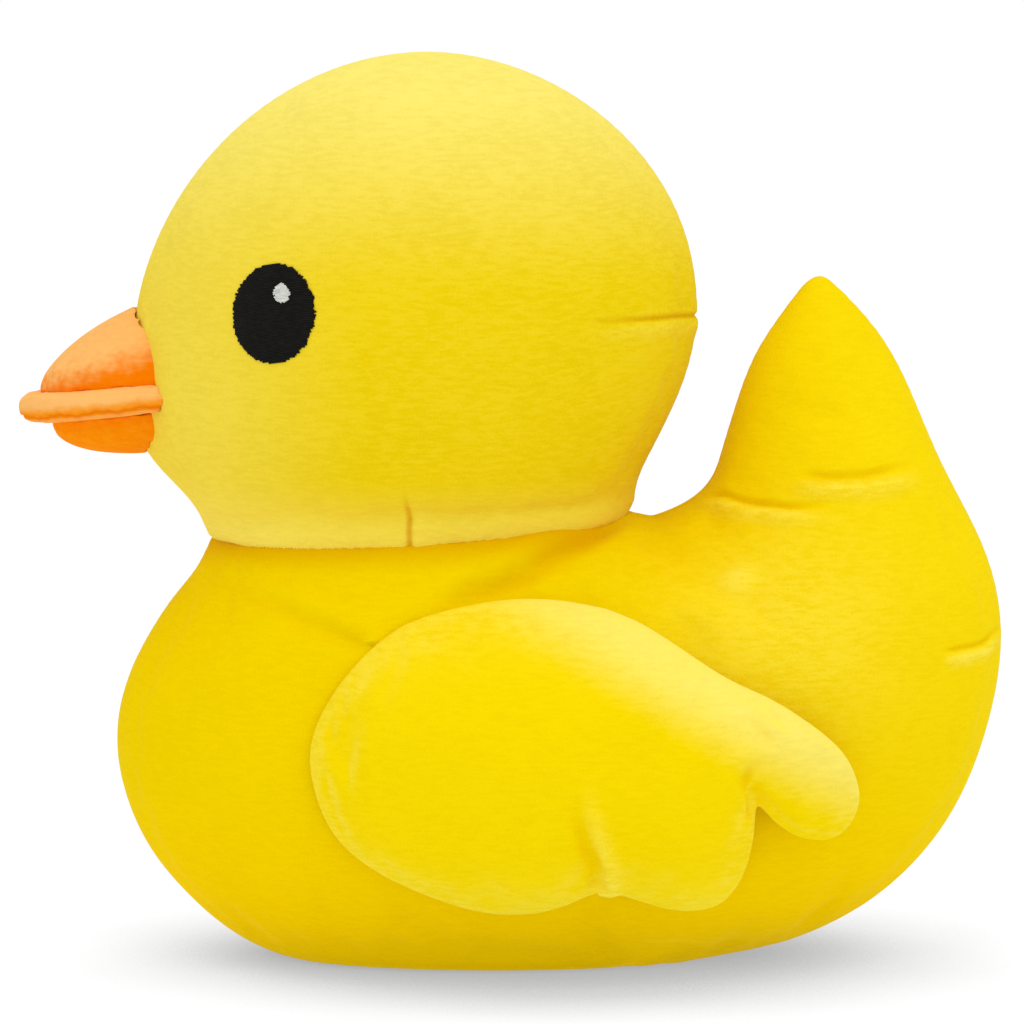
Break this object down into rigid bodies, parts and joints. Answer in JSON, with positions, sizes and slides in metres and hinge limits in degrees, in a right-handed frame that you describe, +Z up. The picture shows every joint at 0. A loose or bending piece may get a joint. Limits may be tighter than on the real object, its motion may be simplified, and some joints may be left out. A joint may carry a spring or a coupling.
{
  "type": "plush duck",
  "caption": "Soft stuffed duck with a big round head, padded orange bill, embroidered eyes, lobed wings and an upturned tail, sitting on a flat base.",
  "frame": {"origin": "under the middle of the duck's bounding box, on the surface that it sits on", "axes": "+Z up, -Y the way that the bill points, +X the duck's own left side"},
  "size_m": [0.18, 0.272, 0.2503],
  "materials": {
    "yellow_plush": "short brushed pile, bright yellow, matt with a soft sheen",
    "orange_plush": "short nubby pile, orange, matt",
    "black_thread": "satin-stitch embroidery thread, black",
    "white_thread": "satin-stitch embroidery thread, off-white"
  },
  "bodies": {
    "root": {"body": "yellow_plush", "head": "yellow_plush", "wing_left": "yellow_plush", "wing_right": "yellow_plush", "bill_upper": "orange_plush", "bill_lip": "orange_plush", "bill_lower": "orange_plush", "eye_left": "black_thread", "eye_right": "black_thread", "eye_glint_left": "white_thread", "eye_glint_right": "white_thread"}
  },
  "joints": []
}
